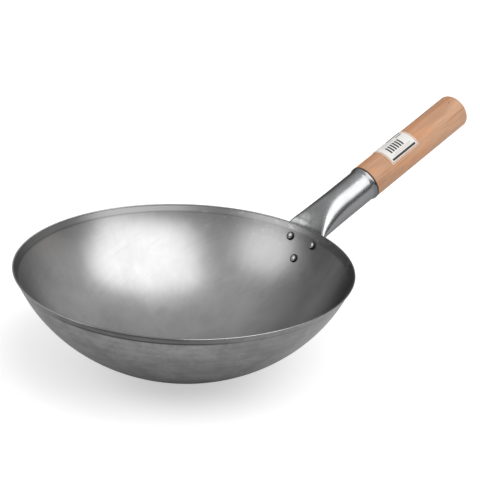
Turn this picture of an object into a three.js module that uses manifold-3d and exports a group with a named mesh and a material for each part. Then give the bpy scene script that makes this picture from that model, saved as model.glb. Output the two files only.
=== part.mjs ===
// Round-bottom wok: a pressed steel bowl, a rolled steel socket riveted to its wall,
// and a turned wooden grip held in the socket by a nail. Millimetres, +Z up.
// The origin is the lowest point of the bowl, on its axis. The handle points along +X.

import * as THREE from 'three';
import { mergeVertices } from 'three/addons/utils/BufferGeometryUtils.js';
import Module from 'manifold-3d';

const wasm = await Module();
wasm.setup();

// Clearances
const SEAT_GAP = 0.3;
const HOLE_GAP = 0.3;

// Bowl
const RIM_DIAMETER = 356;
const BOWL_DEPTH = 112;
const BOWL_SHEET = 1.5;
const BASE_FLAT_DIAMETER = 24;
const RIM_BAND_HEIGHT = 7.5;
const RIM_BAND_FLARE = 1;
// 0 makes the wall a paraboloid, 1 makes it an ellipsoid.
const WALL_FULLNESS = 0.5;

// Handle axis, and the plate that meets the wall
const HANDLE_RISE_DEG = 22.2;
const AXIS_BELOW_RIM = 2.1;
const SOCKET_SHEET = 1.2;
const PLATE_DROP = 45;
const PLATE_SETTLE = 18;
const BEND_REACH = 8;

// Socket tube, measured along the handle axis from the plate
const TUBE_DIAMETER = 38;
const SOCKET_LENGTH = 95;
const PRESS_LEAD = 2;
const PRESS_LENGTH = 55;
const MOUTH_FLARE = 1.6;
const MOUTH_FLARE_LENGTH = 10.5;
const HOLLOW_START = 8;
const SEAM_WIDTH = 0.8;

// Rivets
const RIVET_SHANK_DIAMETER = 5;
const RIVET_HEAD_DIAMETER = 9.6;
const RIVET_HEAD_HEIGHT = 2.8;
const RIVET_TAIL_DIAMETER = 9;
const RIVET_TAIL_HEIGHT = 2;
const RIVET_SPACING = 35.2;
const RIVET_ROW_DROP = 13.4;
const LOWER_RIVET_DROP = 32;
// The three were drilled a little to one side of the handle's middle.
const RIVETS_OFF_MIDDLE = -1.7;

// Wooden grip
const GRIP_DIAMETER = 40.2;
const GRIP_LENGTH = 162.5;
const GRIP_DOME = 10.5;
const GRIP_SHOULDER_ROUND = 1;
const TENON_STANDOFF = 3;

// Nail through the socket into the tenon, on the underside
const NAIL_SHANK_DIAMETER = 2.6;
const NAIL_HEAD_DIAMETER = 6;
const NAIL_HEAD_HEIGHT = 1.3;
const NAIL_LENGTH = 14;
const NAIL_POINT = 3;
const NAIL_FROM_MOUTH = 17;
const NAIL_ANGLE_DEG = 140;

// Paper label wrapped round the grip
const LABEL_LENGTH = 44.5;
const LABEL_WIDTH = 36;
const LABEL_THICKNESS = 0.3;
const LABEL_FROM_MOUTH = 31.5;
const LABEL_ANGLE_DEG = -9;

// Facets
const BOWL_SEGMENTS = 96;
const WALL_STEPS = 20;
const WALL_STEP_GROWTH = 1.6;
const TURNED_SEGMENTS = 48;
const SMALL_SEGMENTS = 20;
const HEAD_STEPS = 5;
const GRIP_DOME_STEPS = 8;
const LABEL_STEPS = 14;
const PLATE_STEPS = 7;
const PLATE_LAST_ANGLE_DEG = 78;
const BEND_STEPS = 6;
const PRESS_STEPS = 9;
const FLARE_STEPS = 5;
const FLAT_STEPS = 4;
const ROUND_STEPS = 10;
const LEAST_FLAT_SHARE = 0.1;

// Derived sizes
const rimRadius = RIM_DIAMETER / 2;
const wallRimRadius = rimRadius - RIM_BAND_FLARE;
const baseFlatRadius = BASE_FLAT_DIAMETER / 2;
const tubeRadius = TUBE_DIAMETER / 2;
const gripRadius = GRIP_DIAMETER / 2;
const plateThickness = 2 * SOCKET_SHEET;
const handleRise = THREE.MathUtils.degToRad(HANDLE_RISE_DEG);

// Bowl wall: point and outward normal of the outer face at height z, as (radius, height)

function wallRadius(z) {
  const t = z / BOWL_DEPTH;
  const share = (1 + WALL_FULLNESS) * t - WALL_FULLNESS * t * t;
  return Math.sqrt(baseFlatRadius ** 2 + (wallRimRadius ** 2 - baseFlatRadius ** 2) * share);
}

function wallNormal(z) {
  const t = z / BOWL_DEPTH;
  const slope = (wallRimRadius ** 2 - baseFlatRadius ** 2)
    * (1 + WALL_FULLNESS - 2 * WALL_FULLNESS * t) / (2 * wallRadius(z));
  return new THREE.Vector2(BOWL_DEPTH, -slope).normalize();
}

function wallPoint(z) {
  return new THREE.Vector2(wallRadius(z), z);
}

// Solids: closed triangle lists that can be cut and joined

function solidOf(geometry) {
  const plain = geometry.clone();
  plain.deleteAttribute('normal');
  plain.deleteAttribute('uv');
  const merged = mergeVertices(plain, 1e-4);
  const index = merged.index.array;
  const triangles = [];
  for (let i = 0; i < index.length; i += 3) {
    const [a, b, c] = [index[i], index[i + 1], index[i + 2]];
    if (a !== b && b !== c && c !== a) triangles.push(a, b, c);
  }
  return new wasm.Manifold(new wasm.Mesh({
    numProp: 3,
    vertProperties: Float32Array.from(merged.attributes.position.array),
    triVerts: Uint32Array.from(triangles),
  }));
}

function geometryOf(solid) {
  const mesh = solid.getMesh();
  const geometry = new THREE.BufferGeometry();
  geometry.setAttribute('position', new THREE.BufferAttribute(Float32Array.from(mesh.vertProperties), 3));
  geometry.setIndex(new THREE.BufferAttribute(Uint32Array.from(mesh.triVerts), 1));
  geometry.computeVertexNormals();
  return geometry;
}

// A profile of (radius, height) turned about +Z, drawn anticlockwise as seen with radius to the right
function turned(profile, segments) {
  return new THREE.LatheGeometry(profile, segments).rotateX(Math.PI / 2);
}

// A frame whose +Z lies along an axis, with its +Y held level
function axisFrame(origin, axis) {
  const z = axis.clone().normalize();
  const y = new THREE.Vector3(0, 0, 1).cross(z).normalize();
  const x = y.clone().cross(z);
  return new THREE.Matrix4().makeBasis(x, y, z).setPosition(origin);
}

function rod(radius, low, high, frame) {
  const cylinder = new THREE.CylinderGeometry(radius, radius, high - low, SMALL_SEGMENTS);
  cylinder.rotateX(Math.PI / 2).translate(0, 0, (low + high) / 2).applyMatrix4(frame);
  return solidOf(cylinder);
}

// Rivets: each sits square to the bowl wall, its local z = 0 on the wall's inner face

const RIVETS = [
  { name: 'rivet_left', drop: RIVET_ROW_DROP, offset: RIVETS_OFF_MIDDLE + RIVET_SPACING / 2 },
  { name: 'rivet_right', drop: RIVET_ROW_DROP, offset: RIVETS_OFF_MIDDLE - RIVET_SPACING / 2 },
  { name: 'rivet_lower', drop: LOWER_RIVET_DROP, offset: RIVETS_OFF_MIDDLE },
];

// How far the plate's front stands off the wall: it clears the flared rim, then settles on the wall
function plateStandOff(z) {
  const above = THREE.MathUtils.clamp(1 - (BOWL_DEPTH - z) / PLATE_SETTLE, 0, 1);
  return SEAT_GAP + RIM_BAND_FLARE * above ** 2;
}

function rivetFrame({ drop, offset }) {
  const z = BOWL_DEPTH - drop;
  const around = offset / wallRadius(z);
  const normal = wallNormal(z);
  const inner = wallPoint(z).addScaledVector(normal, -BOWL_SHEET);
  const axis = new THREE.Vector3(normal.x * Math.cos(around), normal.x * Math.sin(around), normal.y);
  const origin = new THREE.Vector3(inner.x * Math.cos(around), inner.x * Math.sin(around), inner.y);
  return axisFrame(origin, axis);
}

function rivetGrip({ drop }) {
  return BOWL_SHEET + plateStandOff(BOWL_DEPTH - drop) + plateThickness;
}

// A flat-bottomed head meets the hollow wall at its edge, and the wall's facets stand inside its curve
function headSeat({ drop }) {
  const hollow = wallRadius(BOWL_DEPTH - drop) - BOWL_SHEET;
  const edgeRise = (RIVET_HEAD_DIAMETER / 2) ** 2 / (2 * hollow);
  const facetRise = hollow * (1 - Math.cos(Math.PI / BOWL_SEGMENTS));
  return -(SEAT_GAP + edgeRise + facetRise);
}

// Half of a domed head: radius falls to the axis as the height grows
function domePoints(radius, height, base, direction, steps = HEAD_STEPS) {
  const points = [];
  for (let i = 0; i <= steps; i += 1) {
    const angle = (i / steps) * Math.PI / 2;
    const across = i === steps ? 0 : radius * Math.cos(angle);
    points.push(new THREE.Vector2(across, base + direction * height * Math.sin(angle)));
  }
  return points;
}

function rivet(place) {
  const shank = RIVET_SHANK_DIAMETER / 2;
  const seat = headSeat(place);
  const tailSeat = rivetGrip(place) + SEAT_GAP;
  const head = domePoints(RIVET_HEAD_DIAMETER / 2, RIVET_HEAD_HEIGHT, seat, -1).reverse();
  const tail = domePoints(RIVET_TAIL_DIAMETER / 2, RIVET_TAIL_HEIGHT, tailSeat, 1);
  const neck = [new THREE.Vector2(shank, seat), new THREE.Vector2(shank, tailSeat)];
  return turned([...head, ...neck, ...tail], SMALL_SEGMENTS).applyMatrix4(rivetFrame(place));
}

function rivetHole(place) {
  const radius = RIVET_SHANK_DIAMETER / 2 + HOLE_GAP;
  return rod(radius, -RIVET_HEAD_HEIGHT, rivetGrip(place) + RIVET_TAIL_HEIGHT, rivetFrame(place));
}

// Bowl: outer wall up to the crease, the flared rim band, its level edge, and back down inside

function bowl() {
  const creaseHeight = BOWL_DEPTH - RIM_BAND_HEIGHT;
  const crease = wallPoint(creaseHeight);
  const rimOuter = new THREE.Vector2(rimRadius, BOWL_DEPTH);
  const band = rimOuter.clone().sub(crease);
  const bandNormal = new THREE.Vector2(band.y, -band.x).normalize();
  const outer = [];
  const inner = [];
  for (let i = 0; i <= WALL_STEPS; i += 1) {
    const z = creaseHeight * (i / WALL_STEPS) ** WALL_STEP_GROWTH;
    const normal = i === WALL_STEPS ? wallNormal(z).add(bandNormal).normalize() : wallNormal(z);
    outer.push(wallPoint(z));
    inner.push(wallPoint(z).addScaledVector(normal, -BOWL_SHEET));
  }
  const rimInner = new THREE.Vector2(rimRadius - BOWL_SHEET / bandNormal.x, BOWL_DEPTH);
  const profile = [
    new THREE.Vector2(0, 0), ...outer, rimOuter,
    rimInner, ...inner.reverse(), new THREE.Vector2(0, BOWL_SHEET),
  ];
  // The middle of a facet lies under the handle, because the bowl leans that way and rests there.
  let solid = solidOf(turned(profile, BOWL_SEGMENTS).rotateZ(Math.PI / BOWL_SEGMENTS));
  for (const place of RIVETS) solid = solid.subtract(rivetHole(place));
  return geometryOf(solid);
}

// Socket: stations run from the plate's lower end, round the bend and out along the tube.
// Each has a centre and a front normal in the XZ plane, and a section that is two flats of
// half length "flat" joined by half rounds of radius "round".

function plateCentre(z) {
  const normal = wallNormal(z);
  const centre = wallPoint(z).addScaledVector(normal, SEAT_GAP + plateThickness / 2);
  centre.x += plateStandOff(z) - SEAT_GAP;
  return { centre, normal: normal.negate() };
}

const axisRoot = plateCentre(BOWL_DEPTH - AXIS_BELOW_RIM).centre;
const axisDirection = new THREE.Vector2(Math.cos(handleRise), Math.sin(handleRise));
const axisUp = new THREE.Vector2(-axisDirection.y, axisDirection.x);

// The sheet keeps its girth while the round tube is pressed flat
function pressedSection(along) {
  const open = THREE.MathUtils.clamp((along + PRESS_LEAD) / (PRESS_LENGTH + PRESS_LEAD), 0, 1);
  const round = SOCKET_SHEET + (tubeRadius - SOCKET_SHEET) * (1 - (1 - open) ** 2);
  return { flat: (tubeRadius - round) * Math.PI / 2, round };
}

function tubeSection(along) {
  const section = pressedSection(along);
  const flare = THREE.MathUtils.smootherstep(along, SOCKET_LENGTH - MOUTH_FLARE_LENGTH, SOCKET_LENGTH);
  section.round += MOUTH_FLARE * flare;
  return section;
}

// How far a section follows the bowl's curve: fully at the plate, not at all on the round tube
function wrapAt(along) {
  return 1 - THREE.MathUtils.smoothstep(along, 0, PRESS_LENGTH);
}

function tubeStation(along) {
  return {
    centre: axisRoot.clone().addScaledVector(axisDirection, along),
    normal: axisUp,
    wrap: wrapAt(along),
    ...tubeSection(along),
  };
}

const bendFoot = BOWL_DEPTH - AXIS_BELOW_RIM - BEND_REACH;
const bendCurve = new THREE.QuadraticBezierCurve(
  plateCentre(bendFoot).centre,
  axisRoot,
  axisRoot.clone().addScaledVector(axisDirection, BEND_REACH),
);

function bendStation(share) {
  const along = BEND_REACH * (2 * share - 1);
  const tangent = bendCurve.getTangent(share);
  return {
    centre: bendCurve.getPoint(share),
    normal: new THREE.Vector2(-tangent.y, tangent.x),
    wrap: wrapAt(along),
    ...pressedSection(along),
  };
}

// The plate narrows from the bend to its lower end along a quarter ellipse
function plateStation(angle) {
  const plateFoot = BOWL_DEPTH - PLATE_DROP;
  const width = pressedSection(-BEND_REACH).flat + SOCKET_SHEET;
  const half = width * Math.cos(angle);
  const z = bendFoot - (bendFoot - plateFoot) * Math.sin(angle);
  return { ...plateCentre(z), wrap: 1, flat: half - SOCKET_SHEET, round: SOCKET_SHEET };
}

// Point of a section, a distance along its girth from the middle of the front flat
function girthPoint(distance, flat, round) {
  if (distance <= flat) return new THREE.Vector2(distance, round);
  const turn = (distance - flat) / round;
  if (turn <= Math.PI) {
    return new THREE.Vector2(flat + round * Math.sin(turn), round * Math.cos(turn));
  }
  return new THREE.Vector2(2 * flat + Math.PI * round - distance, -round);
}

// Half a girth, from the middle of the front to the middle of the back
function halfGirth({ flat, round }) {
  const total = 2 * flat + Math.PI * round;
  const edge = Math.max(flat, LEAST_FLAT_SHARE * total);
  const points = [];
  for (let i = 0; i < FLAT_STEPS; i += 1) points.push(girthPoint(edge * i / FLAT_STEPS, flat, round));
  for (let i = 0; i <= ROUND_STEPS; i += 1) {
    points.push(girthPoint(edge + (total - 2 * edge) * i / ROUND_STEPS, flat, round));
  }
  for (let i = 1; i <= FLAT_STEPS; i += 1) {
    points.push(girthPoint(total - edge + edge * i / FLAT_STEPS, flat, round));
  }
  return points;
}

function ringOf(station) {
  const { centre, normal, wrap } = station;
  const half = halfGirth(station);
  const mirrored = half.slice(1, -1).reverse().map((p) => new THREE.Vector2(-p.x, p.y));
  return [...half, ...mirrored].map((p) => {
    const x = centre.x + p.y * normal.x;
    const z = centre.y + p.y * normal.y;
    const around = p.x / x;
    return new THREE.Vector3(
      THREE.MathUtils.lerp(x, x * Math.cos(around), wrap),
      THREE.MathUtils.lerp(p.x, x * Math.sin(around), wrap),
      z,
    );
  });
}

// A closed skin over a row of rings, with a fan of triangles over each end
function loft(stations) {
  const rings = stations.map(ringOf);
  const count = rings[0].length;
  const positions = rings.flat().flatMap((p) => [p.x, p.y, p.z]);
  const index = [];
  for (let r = 0; r + 1 < rings.length; r += 1) {
    for (let k = 0; k < count; k += 1) {
      const a = r * count + k;
      const b = r * count + (k + 1) % count;
      index.push(a, a + count, b, b, a + count, b + count);
    }
  }
  for (const [r, flip] of [[0, false], [rings.length - 1, true]]) {
    const middle = positions.length / 3;
    const centre = rings[r].reduce((sum, p) => sum.add(p), new THREE.Vector3()).divideScalar(count);
    positions.push(centre.x, centre.y, centre.z);
    for (let k = 0; k < count; k += 1) {
      const a = r * count + k;
      const b = r * count + (k + 1) % count;
      index.push(middle, ...(flip ? [b, a] : [a, b]));
    }
  }
  const geometry = new THREE.BufferGeometry();
  geometry.setAttribute('position', new THREE.Float32BufferAttribute(positions, 3));
  geometry.setIndex(index);
  return geometry;
}

function spread(low, high, steps) {
  return Array.from({ length: steps + 1 }, (_, i) => low + (high - low) * i / steps);
}

// Frame on the handle axis: z runs outwards along it, y stays level, x points down
const handleFrame = axisFrame(
  new THREE.Vector3(axisRoot.x, 0, axisRoot.y),
  new THREE.Vector3(axisDirection.x, 0, axisDirection.y),
);

// Frame on the tube's outer face, z pointing out of it, at an angle from the top towards +Y
function tubeFaceFrame(along, angle) {
  const out = new THREE.Vector3(-Math.cos(angle), Math.sin(angle), 0);
  const seat = out.clone().multiplyScalar(tubeRadius).setZ(along);
  const z = out.transformDirection(handleFrame);
  const x = new THREE.Vector3(axisDirection.x, 0, axisDirection.y);
  const y = z.clone().cross(x);
  return new THREE.Matrix4().makeBasis(x, y, z).setPosition(seat.applyMatrix4(handleFrame));
}

const flareStart = SOCKET_LENGTH - MOUTH_FLARE_LENGTH;
const nailFrame = tubeFaceFrame(SOCKET_LENGTH - NAIL_FROM_MOUTH, THREE.MathUtils.degToRad(NAIL_ANGLE_DEG));
const nailHoleRadius = NAIL_SHANK_DIAMETER / 2 + HOLE_GAP;
const nailHole = rod(nailHoleRadius, -NAIL_LENGTH - HOLE_GAP, NAIL_HEAD_HEIGHT, nailFrame);

function socket() {
  const tip = THREE.MathUtils.degToRad(PLATE_LAST_ANGLE_DEG);
  const outside = [
    ...spread(tip, 0, PLATE_STEPS).slice(0, -1).map(plateStation),
    ...spread(0, 1, BEND_STEPS).slice(0, -1).map(bendStation),
    ...spread(BEND_REACH, PRESS_LENGTH, PRESS_STEPS).map(tubeStation),
    ...spread(flareStart, SOCKET_LENGTH, FLARE_STEPS).map(tubeStation),
  ];
  const inside = [
    ...spread(HOLLOW_START, PRESS_LENGTH, PRESS_STEPS),
    ...spread(flareStart, SOCKET_LENGTH + SOCKET_SHEET, FLARE_STEPS),
  ].map(tubeStation);
  for (const station of inside) station.round -= SOCKET_SHEET;
  const seamLength = SOCKET_LENGTH - PRESS_LENGTH;
  const seam = new THREE.BoxGeometry(plateThickness + MOUTH_FLARE, SEAM_WIDTH, seamLength);
  seam.translate(tubeRadius, 0, PRESS_LENGTH + seamLength / 2 + SEAM_WIDTH).applyMatrix4(handleFrame);
  let solid = solidOf(loft(outside)).subtract(solidOf(loft(inside))).subtract(solidOf(seam));
  for (const place of RIVETS) solid = solid.subtract(rivetHole(place));
  return geometryOf(solid.subtract(nailHole));
}

// Grip: a tenon that fills the socket's bore, a shoulder at its mouth, and a domed end

function grip() {
  const tenonRadius = tubeRadius - SOCKET_SHEET - SEAT_GAP;
  const tenonStart = PRESS_LENGTH + TENON_STANDOFF;
  const shoulder = SOCKET_LENGTH + SEAT_GAP;
  const end = SOCKET_LENGTH + GRIP_LENGTH;
  const profile = [
    new THREE.Vector2(0, tenonStart),
    new THREE.Vector2(tenonRadius, tenonStart),
    new THREE.Vector2(tenonRadius, shoulder),
    new THREE.Vector2(gripRadius - GRIP_SHOULDER_ROUND, shoulder),
    new THREE.Vector2(gripRadius, shoulder + GRIP_SHOULDER_ROUND),
    ...domePoints(gripRadius, GRIP_DOME, end - GRIP_DOME, 1, GRIP_DOME_STEPS),
  ];
  const blank = turned(profile, TURNED_SEGMENTS).applyMatrix4(handleFrame);
  return geometryOf(solidOf(blank).subtract(nailHole));
}

function nail() {
  const shank = NAIL_SHANK_DIAMETER / 2;
  const profile = [
    new THREE.Vector2(0, -NAIL_LENGTH),
    new THREE.Vector2(shank, NAIL_POINT - NAIL_LENGTH),
    new THREE.Vector2(shank, SEAT_GAP),
    ...domePoints(NAIL_HEAD_DIAMETER / 2, NAIL_HEAD_HEIGHT, SEAT_GAP, 1),
  ];
  return turned(profile, SMALL_SEGMENTS).applyMatrix4(nailFrame);
}

// Label: a slice of a thin ring round the grip
function label() {
  const inside = gripRadius + SEAT_GAP;
  const outside = inside + LABEL_THICKNESS;
  const middle = Math.PI - THREE.MathUtils.degToRad(LABEL_ANGLE_DEG);
  const halfAngle = LABEL_WIDTH / inside / 2;
  const outline = new THREE.Shape();
  outline.absarc(0, 0, outside, middle - halfAngle, middle + halfAngle, false);
  outline.absarc(0, 0, inside, middle + halfAngle, middle - halfAngle, true);
  const options = { depth: LABEL_LENGTH, bevelEnabled: false, curveSegments: LABEL_STEPS };
  const slice = new THREE.ExtrudeGeometry(outline, options);
  return slice.translate(0, 0, SOCKET_LENGTH + LABEL_FROM_MOUTH).applyMatrix4(handleFrame);
}

// Finishes
const satinSteel = { color: 0x8d8f90, roughness: 0.36, metalness: 1 };
const polishedSteel = { color: 0xa9abad, roughness: 0.2, metalness: 1 };
const rivetSteel = { color: 0x9b9c9d, roughness: 0.25, metalness: 1 };
const paleWood = { color: 0xcfa280, roughness: 0.55, metalness: 0 };
const paper = { color: 0xf0ece6, roughness: 0.7, metalness: 0 };

const wok = new THREE.Group();

function addPiece(name, geometry, finish) {
  const mesh = new THREE.Mesh(geometry, new THREE.MeshStandardMaterial(finish));
  mesh.name = name;
  wok.add(mesh);
}

addPiece('wok_bowl', bowl(), satinSteel);
addPiece('handle_socket', socket(), polishedSteel);
for (const place of RIVETS) addPiece(place.name, rivet(place), rivetSteel);
addPiece('wood_grip', grip(), paleWood);
addPiece('grip_nail', nail(), rivetSteel);
addPiece('paper_label', label(), paper);

export default wok;
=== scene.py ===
"""Round-bottom wok: fine meshes, finishes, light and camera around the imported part.

Metres, in the part's own frame: +Z up, the handle along +X, the origin under the bowl.
"""

import math
from types import SimpleNamespace

import bmesh
import bpy
import numpy as np
from mathutils import Matrix, Vector


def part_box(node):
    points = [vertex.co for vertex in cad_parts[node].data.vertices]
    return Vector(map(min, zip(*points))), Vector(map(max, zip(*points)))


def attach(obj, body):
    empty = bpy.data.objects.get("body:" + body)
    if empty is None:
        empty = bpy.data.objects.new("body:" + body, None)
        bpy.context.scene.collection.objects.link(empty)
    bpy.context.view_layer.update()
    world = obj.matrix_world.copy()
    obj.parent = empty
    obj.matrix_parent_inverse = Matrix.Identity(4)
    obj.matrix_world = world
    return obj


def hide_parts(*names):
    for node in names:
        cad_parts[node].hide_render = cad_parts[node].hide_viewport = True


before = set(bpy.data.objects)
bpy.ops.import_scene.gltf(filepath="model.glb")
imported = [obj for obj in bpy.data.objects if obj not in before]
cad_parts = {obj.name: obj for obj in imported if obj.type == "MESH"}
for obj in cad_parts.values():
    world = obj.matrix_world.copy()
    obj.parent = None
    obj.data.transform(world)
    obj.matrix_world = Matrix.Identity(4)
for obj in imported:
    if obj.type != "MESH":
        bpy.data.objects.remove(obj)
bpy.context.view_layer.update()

MM = 0.001

# Clearances
SEAT_GAP = 0.3 * MM
HOLE_GAP = 0.3 * MM

# Bowl
RIM_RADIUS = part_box("wok_bowl")[1].y
BOWL_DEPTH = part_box("wok_bowl")[1].z
BOWL_SHEET = 1.5 * MM
BASE_FLAT_RADIUS = 12 * MM
RIM_BAND_HEIGHT = 7.5 * MM
RIM_BAND_FLARE = 1 * MM
RIM_EDGE_ROUND = 0.4 * MM
# 0 makes the wall a paraboloid, 1 makes it an ellipsoid.
WALL_FULLNESS = 0.5
WALL_RIM_RADIUS = RIM_RADIUS - RIM_BAND_FLARE
CREASE_HEIGHT = BOWL_DEPTH - RIM_BAND_HEIGHT
# Growth of the wall's squared radius from the base flat to the rim
WALL_SPREAD = WALL_RIM_RADIUS ** 2 - BASE_FLAT_RADIUS ** 2

# Handle axis, and the plate that meets the wall
HANDLE_RISE = math.radians(22.2)
AXIS_BELOW_RIM = 2.1 * MM
SOCKET_SHEET = 1.2 * MM
PLATE_THICKNESS = 2 * SOCKET_SHEET
PLATE_DROP = 45 * MM
PLATE_SETTLE = 18 * MM
BEND_REACH = 8 * MM

# Socket tube, measured along the handle axis from the plate
TUBE_RADIUS = 19 * MM
SOCKET_LENGTH = 95 * MM
PRESS_LEAD = 2 * MM
PRESS_LENGTH = 55 * MM
MOUTH_FLARE = 1.5 * MM
MOUTH_FLARE_LENGTH = 8 * MM
MOUTH_EDGE_ROUND = 0.3 * MM
HOLLOW_START = 8 * MM
SEAM_WIDTH = 0.8 * MM

# Rivets: how far below the rim, and how far round the wall from the handle's middle
RIVET_SHANK_RADIUS = 2.5 * MM
RIVET_HEAD_RADIUS = 4.8 * MM
RIVET_HEAD_HEIGHT = 2.8 * MM
RIVET_TAIL_RADIUS = 4.5 * MM
RIVET_TAIL_HEIGHT = 2 * MM
RIVET_ROW_DROP = 13.4 * MM
LOWER_RIVET_DROP = 32 * MM
HALF_RIVET_SPACING = 17.6 * MM
RIVETS_OFF_MIDDLE = -1.7 * MM
RIVETS = {
    "rivet_left": (RIVET_ROW_DROP, RIVETS_OFF_MIDDLE + HALF_RIVET_SPACING),
    "rivet_right": (RIVET_ROW_DROP, RIVETS_OFF_MIDDLE - HALF_RIVET_SPACING),
    "rivet_lower": (LOWER_RIVET_DROP, RIVETS_OFF_MIDDLE),
}

# Wooden grip
GRIP_RADIUS = 20.1 * MM
GRIP_LENGTH = 162.5 * MM
GRIP_DOME = 10.5 * MM
GRIP_SHOULDER_ROUND = 1 * MM
TENON_STANDOFF = 3 * MM

# Marks, painted shade and painted light on the bowl: sides are directions from its axis, pairs are where
# a mark starts and is full
# Soot and painted shade on the rim band, in the crease and under the rim edge, most on this side
SOOT_AND_SHADE_SIDE = (-0.83, -0.56)
# Painted light on the outer wall towards this side
PAINTED_LIGHT_SIDE = (0.73, -0.68)
# Painted shade on the inner wall on this side, high up near the rim
PAINTED_SHADE_SIDE = (0.5, -0.87)
PAINTED_SHADE_HEIGHT = (45 * MM, 92 * MM)
# Painted shade on the outside, darker towards the base
PAINTED_SHADE_BASE_HEIGHT = (45 * MM, 6 * MM)
SCRATCHED_REACH = (110 * MM, 150 * MM)
SCRATCHED_HEIGHT = (84 * MM, 98 * MM)
BAND_ABOVE_CREASE = (-0.4 * MM, 0.6 * MM)
# Painted shade along the crease, inside and out
CREASE_LINE = (1.6 * MM, 0.4 * MM)
# Painted shade in a line just under the rim edge, outside
SHADE_LINE_BELOW_RIM = (3 * MM, 1.6 * MM)
# Painted highlight along the rim edge
EDGE_BELOW_RIM = (0.5 * MM, 0.1 * MM)
# Added to a distance from the axis, so that nothing is divided by zero there
NEAR_AXIS = 0.1 * MM

# Marks, painted light and painted shade on the socket, along the handle axis and sideways from it
# Painted light patch on the plate
SPOT_ALONG = 8 * MM
SPOT_SIDE = 8 * MM
SPOT_RADIUS = (8 * MM, 5 * MM)
SPOT_RAGGEDNESS = 9 * MM
# Painted reflection on the pressed root of the tube
PAINTED_REFLECTION_ROOT = (32 * MM, 14 * MM)
PAINTED_REFLECTION_RAGGEDNESS = 20 * MM
MOUTH_RAGGEDNESS = 4 * MM
# Painted shade in the gap at the lip
LIP_BEFORE_MOUTH = (1.3 * MM, 0.5 * MM)

# Marks on the grip, along the handle axis and sideways from it
KNOT_ALONG = 240 * MM
KNOT_SIDE = -4.9 * MM
KNOT_RADIUS = (1.1 * MM, 0.5 * MM)
HEARTWOOD_SIDE = (-2 * MM, 14 * MM)
SHADE_PAST_MOUTH = (2 * MM, 1.2 * MM)

# Nail on the underside of the socket, at an angle from the top towards +Y
NAIL_SHANK_RADIUS = 1.3 * MM
NAIL_HEAD_RADIUS = 3 * MM
NAIL_HEAD_HEIGHT = 1.3 * MM
NAIL_LENGTH = 14 * MM
NAIL_POINT = 3 * MM
NAIL_FROM_MOUTH = 17 * MM
NAIL_ANGLE = math.radians(140)

# Paper label round the grip
LABEL_LENGTH = 44.5 * MM
LABEL_WIDTH = 36 * MM
LABEL_THICKNESS = 0.3 * MM
LABEL_FROM_MOUTH = 31.5 * MM
LABEL_ANGLE = math.radians(-9)

# Print on the label, in millimetres: start and end along it, low and high across it
FRAME_OUTSIDE = (0.7, 43.8, -17.3, 17.3)
FRAME_INSIDE = (1.9, 42.6, -16.1, 16.1)
DARK_BANDS = ((3.5, 41, -15.2, -12.6), (20, 42, 11.5, 14.5), (31.5, 40, 6.6, 8))
GREY_RULES = ((8, 36, -11.2, -10.6), (12, 38, -9.4, -8.8), (8, 26, 6.4, 7), (8, 26, 8.6, 9.2))
BAR_FIELD = (8.3, 31, -7, 3.6)
BAR_PITCH = 3.8
BAR_START = (0.19 * BAR_PITCH, 0.25 * BAR_PITCH)
PRINT_SOFTNESS = 0.12

# Fineness of the meshes
BOWL_SEGMENTS = 288
WALL_STEPS = 72
WALL_STEP_GROWTH = 1.6
BAND_STEPS = 6
TURNED_SEGMENTS = 128
SMALL_SEGMENTS = 48
HOLE_SEGMENTS = 32
ARC_STEPS = 6
DOME_STEPS = 20
PLATE_STEPS = 24
BEND_STEPS = 20
PRESS_STEPS = 60
STRAIGHT_STEPS = 6
FLARE_STEPS = 16
FLAT_STEPS = 20
ROUND_STEPS = 36
LEAST_FLAT_SHARE = 0.1
LABEL_STEPS = (48, 40)
SHARP_ANGLE = math.radians(35)

# Camera: the lens looks at a point right of and above the middle of the rim
CAMERA_AZIMUTH = math.radians(-43.2)
CAMERA_ELEVATION = math.radians(22.26)
CAMERA_ROLL = math.radians(2.58)
CAMERA_DISTANCE = 1.8711
AIM_RIGHT = 57.8 * MM
AIM_UP = 26.7 * MM
LENS_MM = 135
CAMERA_NEAR = 50 * MM


def grey(level):
    return level, level, level


# Colours in linear light, the darker first where a finish varies between two
BOWL_INSIDE = (grey(0.39), grey(0.47))
# Painted shade on one side of the inner wall
INSIDE_PAINTED_SHADE = grey(0.11)
# Painted shade on the inner rim band
INSIDE_BAND_SHADE = grey(0.2)
INSIDE_SCRATCH = grey(0.68)
BOWL_OUTSIDE = (grey(0.16), grey(0.235))
OUTSIDE_SCUFF = grey(0.3)
# Painted shade on the outside towards the base
OUTSIDE_PAINTED_SHADE = grey(0.08)
# Painted light on one side of the outer wall
OUTSIDE_PAINTED_LIGHT = grey(0.36)
# Soot on the outer rim band, and painted shade there, in the crease and under the rim edge
SOOT_AND_PAINTED_SHADE = grey(0.05)
# Painted highlight along the rim edge
EDGE_PAINTED_HIGHLIGHT = grey(0.85)
SOCKET_STEEL = ((0.39, 0.395, 0.4), (0.48, 0.485, 0.49))
# Painted reflection on the pressed root of the socket
SOCKET_PAINTED_REFLECTION = grey(0.65)
# Painted light patch on the socket plate
SOCKET_PAINTED_LIGHT = grey(0.72)
# Painted shade on the socket's underside
SOCKET_UNDERSIDE_SHADE = (0.17, 0.17, 0.175)
# Darker, bluish steel towards the mouth, with painted shade on its underside
SOCKET_MOUTH = (0.11, 0.12, 0.135)
# Painted shade at the socket's lip, where it meets the wood
SOCKET_LIP_SHADE = grey(0.03)
RIVET_STEEL = (grey(0.5), grey(0.6))
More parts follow.
